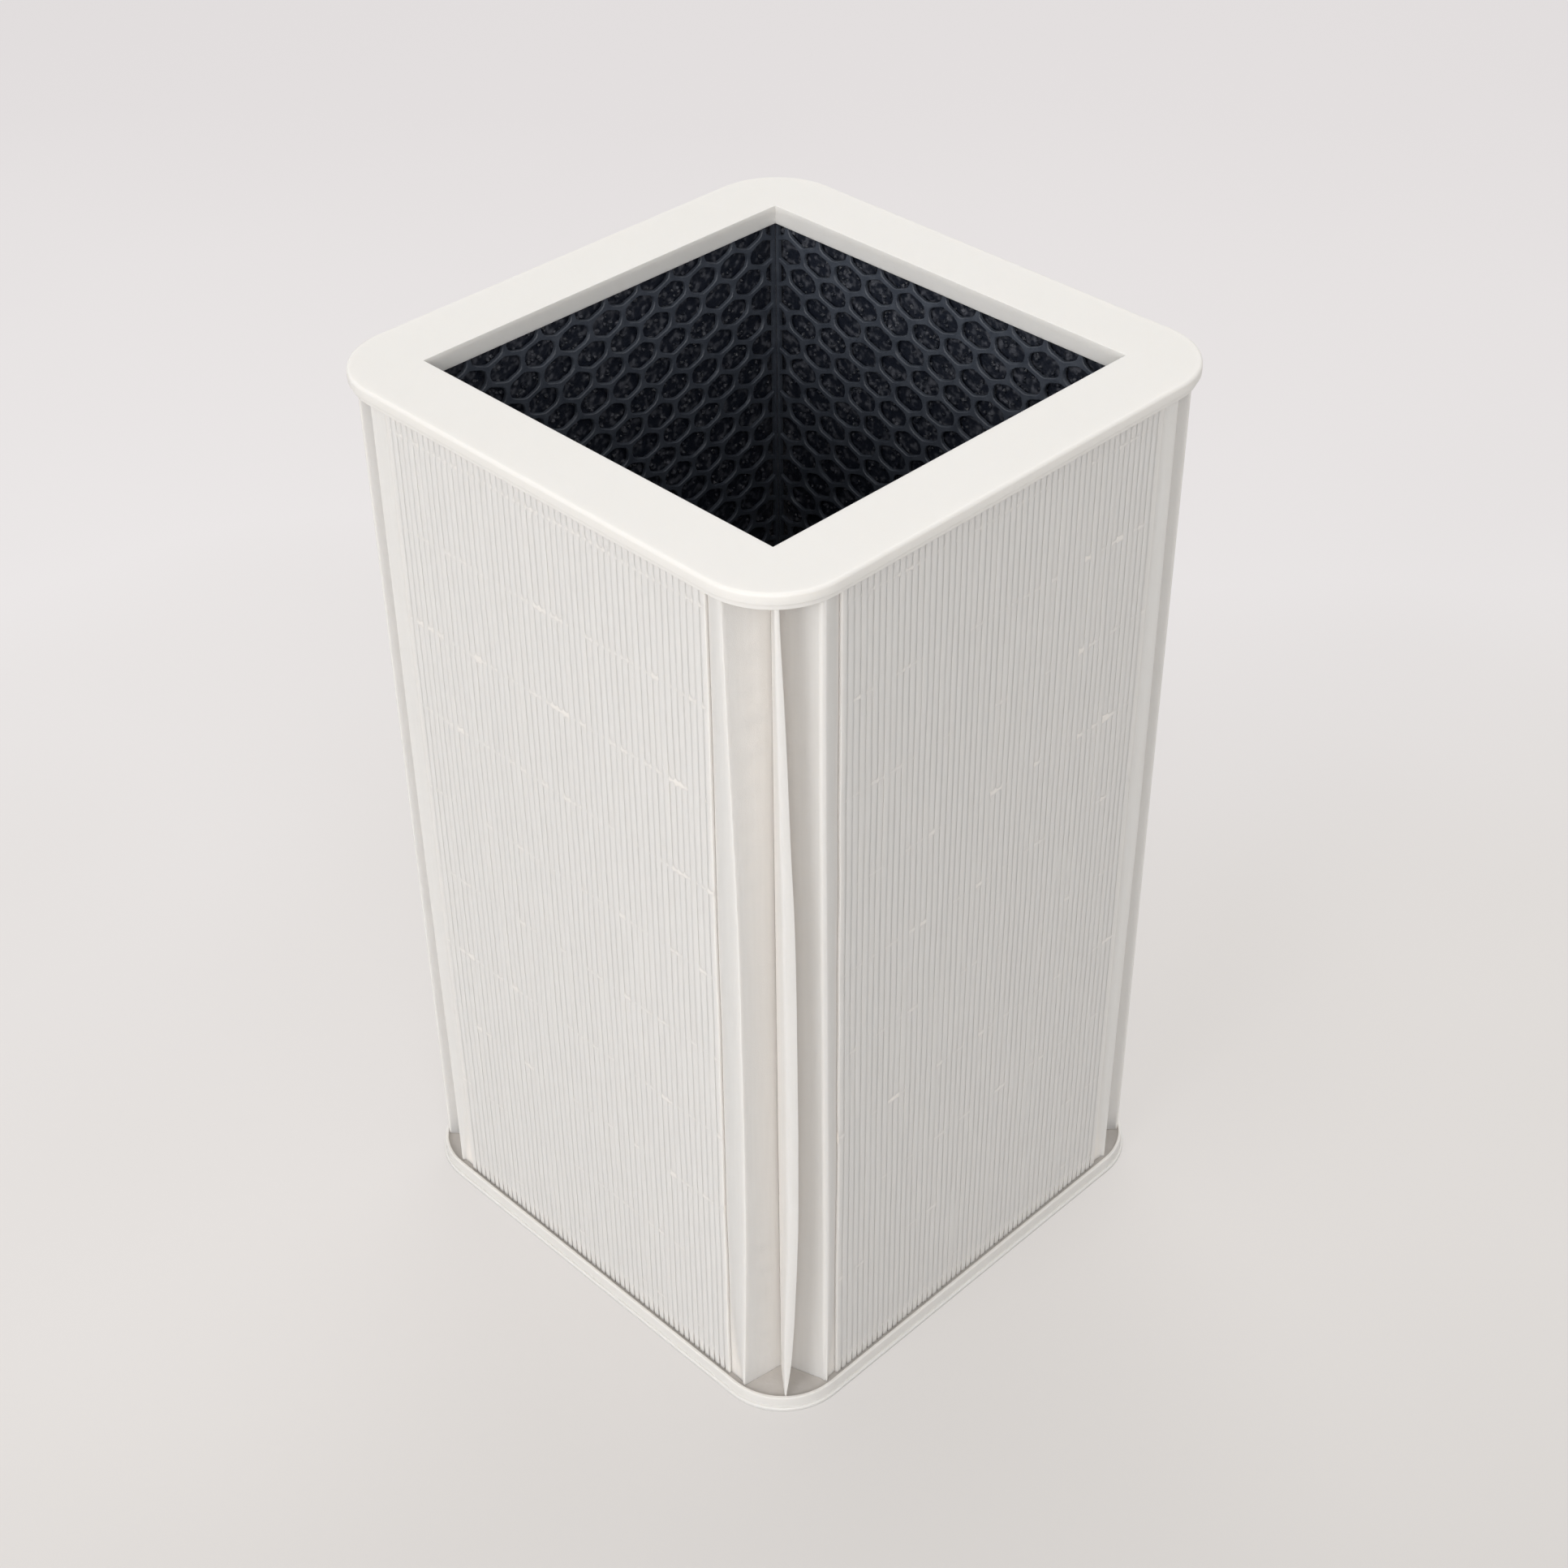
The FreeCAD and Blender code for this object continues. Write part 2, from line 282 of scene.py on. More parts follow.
# %% Poured adhesive
POTTING_LIGHT = (0.56, 0.54, 0.52)
POTTING_DARK = (0.46, 0.44, 0.42)


def make_potting():
    material, tree, shader = new_material("poured_adhesive", POTTING_LIGHT, roughness=0.7)
    vector = object_coordinates(tree)
    flow = mottle_value(tree, vector, scale=120.0)
    color_by(tree, shader, scaled(tree, flow, factor=1.4, offset=0.5), POTTING_DARK, POTTING_LIGHT)
    ripple = mottle_value(tree, vector, scale=260.0, detail=2.0)
    add_bump(tree, shader, ripple, strength=0.5, distance=0.0006)
    return material


POTTING = make_potting()
dress(("top_potting", "bottom_potting"), POTTING)

# %% [markdown]
# The filter sheet is a soft white web of fibres. Light soaks a little way into it, which is why the
# folds look milky and their shadows pale. Fine streaks of painted shade run up and down its colour;
# they stand in for the shading of pleats that are never quite even.

# %% Filter sheet finish
WEB_LIGHT = (0.89, 0.85, 0.808)
# Darker colour of the painted shade streaks on the sheet
WEB_SHADE = (0.84, 0.80, 0.757)


def make_web():
    material, tree, shader = new_material("filter_web", WEB_LIGHT, roughness=0.92)
    upright = object_coordinates(tree, stretch=(1.0, 1.0, 0.06))
    # Upright streaks of painted shade, standing in for the shading of uneven pleats
    painted_shade_streaks = mottle_value(tree, upright, scale=500.0, detail=2.0)
    color_by(tree, shader, scaled(tree, painted_shade_streaks, factor=1.3, offset=0.6), WEB_SHADE, WEB_LIGHT)
    fibres = mottle_value(tree, object_coordinates(tree), scale=2600.0, detail=2.0)
    add_bump(tree, shader, fibres, strength=0.25, distance=0.0003)
    shader.inputs["Specular IOR Level"].default_value = 0.2
    shader.inputs["Subsurface Weight"].default_value = 0.8
    shader.inputs["Subsurface Radius"].default_value = (1.0, 0.95, 0.9)
    shader.inputs["Subsurface Scale"].default_value = 0.003
    return material


WEB = make_web()

# %% [markdown]
# The pleated sheet is the main piece. Its section is walked once round the filter, tip by tip, at
# each of a few dozen levels, and neighbouring levels are joined by faces. Because the section is
# worked out again at each level, every fold can wander a little on its way up, as the real ones do.
# The wide fold at each end of a side and the loose fin on the corner bow sideways on their way up,
# and run to a point at the foot, where they are pushed into the adhesive.

# %% Pleat sizes
PITCH = 2.86 * MM
PLEATS = 54
PLY = 0.6 * MM
# Half width of a side's first and last tip on its free side
EDGE_TIP_HALF = 1.2 * MM
# The tips stand a little back from the solid's, which leaves them room to drift
TIP_BACK = 0.12 * MM
LEAST_GAP = 0.02 * MM
WIDEST_GAP = 0.28 * MM
VALLEY_HALF = 0.3 * MM
REGULAR_END = PITCH * (PLEATS - 1) / 2
TIP_ANGLES = (-90, -56, -20, 20, 56, 90)
# Inside a fold the ply stands this much lower, and leaves at least this half width
INNER_DROP = 0.2 * MM
INNER_LEAST = 0.1 * MM

# A wide fold starts with a groove whose floor is a shelf, goes on as a broad land up to the crest,
# and ends in a nose that slants down and outwards
FOLD_MIDDLE = REGULAR_END + 9.1 * MM
FOLD_BACK = 0.05 * MM
LAND_GAP = 0.55 * MM
LAND_LEAST = 0.6 * MM
SHELF_DROP = 1.3 * MM
LAND_DROP = 0.8 * MM
NOSE_PINCH = 0.6

# Root and tip of a fin, from the axis along the diagonal, and the shares of the way where it bends
FIN_ROOT = (GRID_INNER + 3.75 * MM) * math.sqrt(2)
FIN_TIP = 141.4 * MM
FIN_ROOT_HALF = 0.8 * MM
FIN_SHARES = (0.0, 0.3, 0.6, 0.85, 0.96)
FIN_LEAN_POWER = 1.5
FIN_INNER_LEAST = 0.15 * MM
# A folded fin's tip is rounded: distances back from the end, and shares of the half width there
FIN_ROUND = ((0.2 * MM, 0.86), (0.0, 0.35))
FIN_INNER_BACK = 0.3 * MM

# Levels of the section, as shares of the height: closer together near the foot, where folds pinch
FOOT_SHARE = 0.009
LOW_SHARES = (0, FOOT_SHARE, 0.014, 0.021, 0.032, 0.05, 0.08, 0.11)
LEVEL_SHARES = np.concatenate([LOW_SHARES, np.linspace(0.145, 1, 25)])
LEVELS = len(LEVEL_SHARES)
# Tips are rounder near the top than near the foot, where they are pressed together, and less round
# on the right side than on the others
TIP_ROUNDS = (0.05 + 0.11 * LEVEL_SHARES) * MM
SIDE_ROUND = (0.85, 0.5, 0.85, 0.85)
# Knots of a random curve from foot to top, and how much of its reach is left at its two ends
KNOTS = 13
END_SHARE = 0.25
rng = np.random.default_rng(7)


# %% How folds wander
def wander(count, reach, smooth):
    """Random curves over the levels, one per fold; neighbours move alike, and the ends move little."""
    knots = rng.normal(size=(count + 2 * smooth, KNOTS))
    kernel = np.ones(2 * smooth + 1) / math.sqrt(2 * smooth + 1)
    mixed = np.stack([np.convolve(column, kernel, "valid") for column in knots.T], axis=1)
    mixed[:, 0] *= END_SHARE
    mixed[:, -1] *= END_SHARE
    where = np.linspace(0, 1, mixed.shape[1])
    blend = [np.interp(LEVEL_SHARES, where, row) for row in mixed]
    return np.array(blend) * reach


def bowed(knots):
    """Soft curve over the levels through a few (share of height, value) knots."""
    shares, values = zip(*knots)
    rough = np.interp(LEVEL_SHARES, shares, values)
    padded = np.pad(rough, 1, mode="edge")
    return np.convolve(padded, np.array([1, 2, 1]) / 4, "valid")


# How far each tip of a side drifts along the side, and how far it drifts outwards
SWAY = [wander(PLEATS, reach=0.15 * MM, smooth=1) for _ in SIDES]
REACH = [wander(PLEATS, reach=0.05 * MM, smooth=0) for _ in SIDES]
# Gaps between tips are wider at the top, where the photograph shows more of them, than at the foot
GAP_GROWTH = 0.2 + 0.8 * LEVEL_SHARES
GAP_REACH = 0.12 * MM
GAP_CLOSED = 0.07 * MM
# The tips part again where they enter the tray, which leaves a row of small dark notches
NOTCH_GAP = 0.85 * MM
NOTCH_TOP = FOOT_SHARE + 0.012
FOOT_GAP = np.interp(LEVEL_SHARES, (0, FOOT_SHARE, NOTCH_TOP), (NOTCH_GAP, NOTCH_GAP, 0))


def make_gaps():
    """Gaps beside the tips of one side at every level: nearly closed, and open here and there."""
    drift = wander(PLEATS + 1, reach=GAP_REACH, smooth=0) - GAP_CLOSED
    return np.clip(drift * GAP_GROWTH, LEAST_GAP, WIDEST_GAP) + FOOT_GAP


GAPE = [make_gaps() for _ in SIDES]

# %% Bows of the wide folds and the fins
# Sideways bow of the wide fold at each end of a side, away from the side's middle, from the foot up
FOLD_BOW = {
    ("front", 0): [(0, -0.8), (0.5, 0.4), (1, 0.0)],
    ("front", 1): [(0, 0.2), (0.09, 1.1), (0.14, 1.7), (0.24, 2.7), (0.42, 2.9), (0.6, 2.8),
                   (0.68, 2.2), (0.82, 0.5), (0.94, -0.7), (1, -1.2)],
    ("right", 0): [(0, -2.0), (0.22, -2.3), (0.57, -1.1), (0.7, -0.6), (0.87, -0.2), (1, -0.3)],
    ("right", 1): [(0, -1.0), (0.5, 0.6), (1, 0.0)],
    ("back", 0): [(0, -0.6), (0.4, 1.2), (1, 0.0)],
    ("back", 1): [(0, -0.8), (0.6, 1.0), (1, 0.0)],
    ("left", 0): [(0, -0.9), (0.5, 0.9), (1, 0.0)],
    ("left", 1): [(0, -0.8), (0.5, 0.5), (1, 0.0)],
}
# Half width and drop of a wide fold's slanted nose, in mm: the usual ones, and those of sharp folds
NOSE = (0.55, 2.3)
SHARP_NOSE = {("front", 1): (0.5, 0.4), ("back", 0): (0.6, 0.6)}
# The wide folds and the fins run to a point where they enter the tray: 1 is pinched, 0 is open
PINCH = [(0, 0.92), (0.02, 0.75), (0.05, 0.35), (0.09, 0.08), (0.13, 0.0), (1, 0.0)]
# Fin after each side: sideways place of its tip, and its width, from the foot up
FIN_BOW = {
    "front": [(0, 0.9), (0.03, 1.5), (0.1, 2.7), (0.15, 3.3), (0.25, 4.5), (0.4, 4.6), (0.6, 4.2),
              (0.68, 3.9), (0.72, 3.3), (0.84, 2.4), (0.89, 2.0), (0.96, 1.3), (1, 1.0)],
    "right": [(0, 0.0), (0.5, 1.4), (1, 0.3)],
    "back": [(0, 0.0), (0.5, 0.5), (1, 0.0)],
    "left": [(0, 0.0), (0.5, -1.2), (1, 0.2)],
}
FIN_WIDTH = {
    "front": [(0, 0.5), (0.02, 1.4), (0.06, 3.3), (0.15, 3.8), (0.4, 4.2), (0.6, 4.3), (0.7, 3.6),
              (0.84, 3.0), (0.89, 2.7), (0.96, 1.8), (1, 1.5)],
    "right": [(0, 0.6), (0.08, 2.8), (0.5, 4.0), (1, 2.4)],
    "back": [(0, 1.8), (0.1, 2.8), (1, 2.8)],
    "left": [(0, 0.6), (0.08, 2.6), (0.5, 3.8), (1, 2.4)],
}
print("pleats a side", PLEATS, "and two wide folds, at", LEVELS, "levels")


# %% Section of the sheet
def tip_row(side, level):
    """Every narrow pleat of one side at one level, as (middle, outward, half width)."""
    places = [index * PITCH - REGULAR_END + SWAY[side][index][level] for index in range(PLEATS)]
    rows = []
    for index, place in enumerate(places):
        left = right = EDGE_TIP_HALF
        if index:
            left = (place - places[index - 1] - GAPE[side][index][level]) / 2
        if index < PLEATS - 1:
            right = (places[index + 1] - place - GAPE[side][index + 1][level]) / 2
        out = TIP - TIP_BACK + REACH[side][index][level]
        rows.append((place + (right - left) / 2, out, (left + right) / 2))
    return rows


def wide_fold(side, end, level, edge):
    """Outer and inner face of the wide fold at a side's right end, past the last pleat's edge.

    The numbers in the lists are small offsets that round the corners.
    """
    pinch = PINCH_CURVE[level]
    middle = FOLD_MIDDLE + FOLD_CURVES[SIDES[side], end][level]
    half, drop = SHARP_NOSE.get((SIDES[side], end), NOSE)
    half = half * MM * (1 - NOSE_PINCH * pinch)
    drop = drop * MM
    crest = middle - half
    land = edge + LAND_GAP + (crest - LAND_LEAST - edge - LAND_GAP) * pinch
    top = TIP - FOLD_BACK
    shelf = top - SHELF_DROP
    outer = [(edge + 0.04 * MM, SHEET_ROOT + PLY), (edge + 0.1 * MM, shelf - 0.4 * MM),
             (edge + 0.2 * MM, shelf), (land, shelf + 0.3 * MM), (land + 0.25 * MM, top - LAND_DROP),
             (crest - 0.5 * MM, top - 0.06 * MM), (crest, top),
             (middle + half - 0.05 * MM, top - 0.4 * drop), (middle + half, top - drop)]
    inner = [(edge - PLY, SHEET_ROOT), (edge + PLY, SHEET_ROOT),
             (land + 0.2 * MM + PLY, top - LAND_DROP - PLY), (crest, top - PLY - INNER_DROP),
             (max(crest + INNER_LEAST, middle + half - PLY), top - drop - PLY)]
    return outer, inner


def mirrored(points):
    """The same face at the other end of a side."""
    return [(-u, out) for u, out in reversed(points)]


def outside_row(rows, tip_round):
    """Outer face of the narrow pleats: rounded tips and narrow valleys."""
    points = []
    for index, (u, out, half) in enumerate(rows):
        if index:
            middle = (rows[index - 1][0] + u) / 2
            root = SHEET_ROOT + PLY
            points += [(middle - VALLEY_HALF, root), (middle + VALLEY_HALF, root)]
        for angle in TIP_ANGLES:
            turn_by = math.radians(angle)
            points.append((u + half * math.sin(turn_by), out - tip_round * (1 - math.cos(turn_by))))
    return points


def inside_row(rows):
    """Inner face of the narrow pleats: a flat inside each tip, and a flat at each root."""
    points = []
    for index, (u, out, half) in enumerate(rows):
        if index:
            middle = (rows[index - 1][0] + u) / 2
            spread = VALLEY_HALF + PLY
            points += [(middle - spread, SHEET_ROOT), (middle + spread, SHEET_ROOT)]
        inner = max(half - PLY, INNER_LEAST)
        points += [(u - inner, out - PLY - INNER_DROP), (u + inner, out - PLY - INNER_DROP)]
    return points


def side_section(side, level):
    """Outer and inner face of one side at a level, from its left end to its right end."""
    rows = tip_row(side, level)
    left_out, left_in = wide_fold(side, 0, level, rows[0][2] - rows[0][0])
    right_out, right_in = wide_fold(side, 1, level, rows[-1][0] + rows[-1][2])
    outside = mirrored(left_out) + outside_row(rows, TIP_ROUNDS[level] * SIDE_ROUND[side]) + right_out
    inside = mirrored(left_in) + inside_row(rows) + right_in
    return outside, inside


def on_diagonal(distance, aside):
    """Point of the front side's right corner, aside of the diagonal towards the right side."""
    return ((distance + aside) / math.sqrt(2), (distance - aside) / math.sqrt(2))


def fin_section(name, level, hand, is_open):
    """One half of a corner fin: its outer and its inner face, from the well's foot to the tip.

    hand is -1 for the half on this side of the diagonal, and 1 for the half beyond it. An open fin
    is the one where the sheet's two ends meet; the others are folded over at their tip.
    """
    half = FIN_WIDTHS[name][level] / 2
    middle = FIN_CURVES[name][level]
    outer = []
    inner = []
    for share in FIN_SHARES:
        distance = FIN_ROOT + (FIN_TIP - FIN_ROOT) * share
        lean = middle * share ** FIN_LEAN_POWER
        spread = FIN_ROOT_HALF + (half - FIN_ROOT_HALF) * share
        outer.append(on_diagonal(distance, lean + hand * spread))
        within = max(spread - PLY, FIN_INNER_LEAST)
        inner.append(on_diagonal(distance - PLY / 3, lean + hand * within))
    if is_open:
        outer.append(on_diagonal(FIN_TIP, middle + hand * half))
        inner.append(on_diagonal(FIN_TIP, middle + hand * (half - PLY)))
    else:
        for back, share in FIN_ROUND:
            outer.append(on_diagonal(FIN_TIP - back, middle + hand * half * share))
        within = max(half - PLY, INNER_LEAST)
        inner.append(on_diagonal(FIN_TIP - PLY - FIN_INNER_BACK, middle + hand * within))
    foot_u, foot_r = outer[0]
    if hand < 0:
        inner = [(foot_u - PLY, foot_r - PLY / 2)] + inner
    else:
        inner = [(foot_u - PLY / 2, foot_r - PLY)] + inner
    return outer, inner


def to_plan(points, side):
    """(along, outward) points of a side as plan points."""
    cosine, sine = ((1, 0), (0, 1), (-1, 0), (0, -1))[side % 4]
    return [(u * cosine + r * sine, u * sine - r * cosine) for u, r in points]


def section_at(level):
    """Whole section of the sheet at a level: its outer face out and its inner face back.

    It starts and ends at the back left corner, where the sheet's two ends meet.
    """
    outside = []
    inside = []
    for step in (3, 0, 1, 2):
        before = SIDES[(step + 3) % 4]
        after = SIDES[step]
        seam_before = step == 3
        seam_after = step == 2
        outside_here, inside_here = side_section(step, level)
        start_out, start_in = fin_section(before, level, 1, seam_before)
        end_out, end_in = fin_section(after, level, -1, seam_after)
        back_turn = (step + 3) % 4
        outside += to_plan(start_out[::-1], back_turn) + to_plan(outside_here + end_out, step)
        inside += to_plan(start_in[::-1], back_turn) + to_plan(inside_here + end_in, step)
    return outside + inside[::-1]


# %% Pleated sheet
FOLD_CURVES = {key: bowed(knots) * MM for key, knots in FOLD_BOW.items()}
PINCH_CURVE = bowed(PINCH)
FIN_CURVES = {name: bowed(knots) * MM for name, knots in FIN_BOW.items()}
FIN_WIDTHS = {name: bowed(knots) * MM for name, knots in FIN_WIDTH.items()}


def make_sheet():
    """Sections at all levels, joined by faces, with a face on each end."""
    heights = MEDIA_LOW + (MEDIA_HIGH - MEDIA_LOW) * LEVEL_SHARES
    points = []
    for level, z in enumerate(heights):
        points += [(x, y, z) for x, y in section_at(level)]
    count = len(points) // LEVELS
    faces = []
    for level in range(LEVELS - 1):
        low = level * count
        for index in range(count):
            following = (index + 1) % count
            faces.append((low + index, low + following, low + count + following, low + count + index))
    faces.append(tuple(reversed(range(count))))
    faces.append(tuple(range((LEVELS - 1) * count, LEVELS * count)))
    mesh = mesh_from("pleated_web", points, [], faces)
    smooth_by_angle(mesh, degrees=50)
    mesh.materials.append(WEB)
    print("sheet section has", count, "points")
    return link("pleated_web", mesh)


sheet = make_sheet()
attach(sheet, "root")
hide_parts("pleated_sheet")

# %% [markdown]
# Hot-melt adhesive is laid across the pleats in thin threads while the sheet is folded. Each thread
# bridges the gaps between the tips and lies level with them, so it hardly shows. A Geometry Nodes
# tree makes one side's threads: rows of curve lines, cut into short steps, dipped a hair between the
# tips by a wave, and given a flat oval section.

# %% Hot-melt finish
GLUE_WHITE = (0.90, 0.865, 0.825)
GLUE_SHADE = (0.87, 0.835, 0.795)


def make_glue():
    material, tree, shader = new_material("hot_melt", GLUE_WHITE, roughness=0.5)
    vector = object_coordinates(tree)
    cloud = mottle_value(tree, vector, scale=200.0)
    tree.links.new(scaled(tree, cloud, factor=0.3, offset=0.55), shader.inputs["Roughness"])
    color_by(tree, shader, scaled(tree, cloud, factor=1.2, offset=0.5), GLUE_SHADE, GLUE_WHITE)
    lumps = mottle_value(tree, vector, scale=700.0, detail=2.0)
    add_bump(tree, shader, lumps, strength=0.3, distance=0.0004)
    return material


GLUE = make_glue()


# %% Geometry Nodes helpers
# A noise texture stays within about an eighth of 0.5, so its distance from there is raised
NOISE_SWING = 4.0


def new_tree(name, floats):
    """Geometry tree with named float inputs, a Material input and a Geometry output."""
    tree = bpy.data.node_groups.new(name, "GeometryNodeTree")
    tree.interface.new_socket("Geometry", in_out="INPUT", socket_type="NodeSocketGeometry")
    for label, value in floats:
        socket = tree.interface.new_socket(label, in_out="INPUT", socket_type="NodeSocketFloat")
        socket.default_value = value
    tree.interface.new_socket("Material", in_out="INPUT", socket_type="NodeSocketMaterial")
    tree.interface.new_socket("Geometry", in_out="OUTPUT", socket_type="NodeSocketGeometry")
    return tree, tree.nodes.new("NodeGroupInput"), tree.nodes.new("NodeGroupOutput")


def geometry_math(tree, operation, first, second):
    """Math node between two values, each a socket or a number."""
    node = tree.nodes.new("ShaderNodeMath")
    node.operation = operation
    for slot, value in enumerate((first, second)):
        if isinstance(value, (int, float)):
            node.inputs[slot].default_value = value
        else:
            tree.links.new(value, node.inputs[slot])
    return node.outputs[0]


def chain(tree, *nodes):
    """Pass the geometry from node to node, through the first socket of each."""
    for source, target in zip(nodes, nodes[1:]):
        tree.links.new(source.outputs[0], target.inputs[0])


def wire(tree, links):
    """Links from (node, output) to (node, input), each given as four items."""
    for source, output, target, into in links:
        tree.links.new(source.outputs[output], target.inputs[into])


def run_tree(tree, base, values):
    """Run a tree on a mesh with named input values, and return the result as a plain mesh."""
    holder = link("holder", base)
    modifier = holder.modifiers.new("tree", "NODES")
    modifier.node_group = tree
    for item in tree.interface.items_tree:
        if item.in_out == "INPUT" and item.name in values:
            modifier[item.identifier] = values[item.name]
    graph = bpy.context.evaluated_depsgraph_get()
    result = bpy.data.meshes.new_from_object(holder.evaluated_get(graph))
    holder.modifiers.remove(modifier)
    bpy.data.objects.remove(holder)
    return result


# %% Thread tree
THREAD_STEP = PITCH / 2
THREAD_TALL = 6.6 * MM
THREAD_THICK = 1.3 * MM
THREAD_DIP = 0.04 * MM
THREAD_WAVE = 0.7 * MM
THREAD_LUMPS = 0.1
THREAD_CORNERS = 8
THREAD_PROUD = 0.02 * MM
WAVE_SCALE = 28.0
LUMP_SCALE = 260.0


def make_thread_tree():
    """Turns each edge of the input mesh into a thread that dips between the tips."""
    tree, entry, leave = new_tree("hot_melt_threads", [
        ("Step", THREAD_STEP), ("Pitch", PITCH), ("Dip", THREAD_DIP), ("Wave", THREAD_WAVE),
        ("Tall", THREAD_TALL), ("Thick", THREAD_THICK), ("Lumps", THREAD_LUMPS)])
    nodes = tree.nodes
    curve = nodes.new("GeometryNodeMeshToCurve")
    steps = nodes.new("GeometryNodeResampleCurve")
    steps.mode = "LENGTH"
    move = nodes.new("GeometryNodeSetPosition")
    place = nodes.new("GeometryNodeInputPosition")
    parts = nodes.new("ShaderNodeSeparateXYZ")
    turns = geometry_math(tree, "DIVIDE", parts.outputs["X"], entry.outputs["Pitch"])
    turned = geometry_math(tree, "MULTIPLY", turns, 2 * math.pi)
    wave = geometry_math(tree, "COSINE", turned, 0.0)
    raised = geometry_math(tree, "ADD", wave, 1.0)
    dip = geometry_math(tree, "MULTIPLY", raised, entry.outputs["Dip"])
    noise = nodes.new("ShaderNodeTexNoise")
    noise.inputs["Scale"].default_value = WAVE_SCALE
    drift = geometry_math(tree, "SUBTRACT", noise.outputs["Fac"], 0.5)
    rise = geometry_math(tree, "MULTIPLY", drift, entry.outputs["Wave"])
    rise = geometry_math(tree, "MULTIPLY", rise, NOISE_SWING)
    offset = nodes.new("ShaderNodeCombineXYZ")
    lumps = nodes.new("ShaderNodeTexNoise")
    lumps.inputs["Scale"].default_value = LUMP_SCALE
    lump = geometry_math(tree, "SUBTRACT", lumps.outputs["Fac"], 0.5)
    lump = geometry_math(tree, "MULTIPLY", lump, entry.outputs["Lumps"])
    swelling = nodes.new("GeometryNodeSetCurveRadius")
    profile = nodes.new("GeometryNodeCurvePrimitiveCircle")
    profile.inputs["Resolution"].default_value = THREAD_CORNERS
    profile.inputs["Radius"].default_value = 0.5
    shape = nodes.new("GeometryNodeTransform")
    size = nodes.new("ShaderNodeCombineXYZ")
    body = nodes.new("GeometryNodeCurveToMesh")
    body.inputs["Fill Caps"].default_value = True
    normal = nodes.new("GeometryNodeSetCurveNormal")
    normal.mode = "Z_UP"
    real = nodes.new("GeometryNodeRealizeInstances")
    paint = nodes.new("GeometryNodeSetMaterial")
    size.inputs["Z"].default_value = 1.0
    tree.links.new(dip, offset.inputs["Y"])
    tree.links.new(rise, offset.inputs["Z"])
    tree.links.new(geometry_math(tree, "ADD", lump, 1.0), swelling.inputs["Radius"])
    chain(tree, entry, curve, steps, move, swelling, normal, body, real, paint, leave)
    wire(tree, [
        (entry, "Step", steps, "Length"), (place, "Position", parts, "Vector"),
        (place, "Position", noise, "Vector"), (place, "Position", lumps, "Vector"),
        (offset, "Vector", move, "Offset"), (profile, "Curve", shape, "Geometry"),
        (entry, "Thick", size, "X"), (entry, "Tall", size, "Y"), (size, "Vector", shape, "Scale"),
        (shape, "Geometry", body, "Profile Curve"), (entry, "Material", paint, "Material")])
    return tree


THREAD_TREE = make_thread_tree()

# %% Threads on every side
THREAD_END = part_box("spacer_beads_front")[1].x
# The middle of a thread lies so deep that its face is a hair past the tips
THREAD_RUN = TIP - TIP_BACK + THREAD_PROUD - THREAD_THICK / 2


def thread_heights(node):
    """Middle heights of a side's threads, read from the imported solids."""
    heights = sorted({round(v.co.z, 5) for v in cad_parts[node].data.vertices})
    return [(low + high) / 2 for low, high in zip(heights[::2], heights[1::2])]


def make_threads(side):
    name = "spacer_beads_" + SIDES[side]
    heights = thread_heights(name)
    ends = []
    for z in heights:
        ends += [(-THREAD_END, -THREAD_RUN, z), (THREAD_END, -THREAD_RUN, z)]
    edges = [(2 * row, 2 * row + 1) for row in range(len(heights))]
    lines = mesh_from("thread_lines", ends, edges, [])
    mesh = run_tree(THREAD_TREE, lines, {"Material": GLUE})
    mesh.transform(side_turn(side))
    smooth_by_angle(mesh, degrees=60)
    piece = link("hot_melt_threads_" + SIDES[side], mesh)
    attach(piece, "root")
    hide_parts(name)
    return piece


for side in range(len(SIDES)):
    threads = make_threads(side)
print("each side has", len(threads.data.polygons), "thread faces")

dress(("seam_bead",), GLUE)

# %% [markdown]
# The core is lined with a moulded honeycomb. Each cell is a round-cornered hole in a six-sided tile,
# and the tiles fit together without gaps. One tile is modelled, with a slanted lip round its hole.
# A Geometry Nodes tree repeats it on a staggered grid, merges the seams and bends every rib a
# little. The result is trimmed to the panel and gets a plain border.

# %% Honeycomb finish
LATTICE_LIGHT = (0.072, 0.083, 0.105)
LATTICE_DARK = (0.040, 0.048, 0.065)


def make_lattice_plastic():
    material, tree, shader = new_material("lattice_plastic", LATTICE_LIGHT, roughness=0.5)
    vector = object_coordinates(tree)
    dust = mottle_value(tree, vector, scale=240.0)
    color_by(tree, shader, scaled(tree, dust, factor=1.6, offset=0.5), LATTICE_DARK, LATTICE_LIGHT)
    tree.links.new(scaled(tree, dust, factor=0.3, offset=0.5), shader.inputs["Roughness"])
    pits = mottle_value(tree, vector, scale=1500.0, detail=2.0)
    add_bump(tree, shader, pits, strength=0.35, distance=0.0004)
    return material


LATTICE = make_lattice_plastic()

# %% One honeycomb tile
CELL_PITCH = 15.8 * MM
ROW_PITCH = 9.5 * MM
CELL_SLOPE = math.radians(20)
RIB_HALF = 0.95 * MM
HOLE_ROUND = 3.1 * MM
LIP = 0.35 * MM
GRID_THICK = GRID_OUTER - GRID_INNER


def tile_outline():
    """Corners of the six-sided tile, which has a point up and a point down."""
    half = CELL_PITCH / 2
    point = (ROW_PITCH + half * math.tan(CELL_SLOPE)) / 2
    shoulder = point - half * math.tan(CELL_SLOPE)
    return [(half, shoulder), (0, point), (-half, shoulder), (-half, -shoulder), (0, -point),
            (half, -shoulder)]


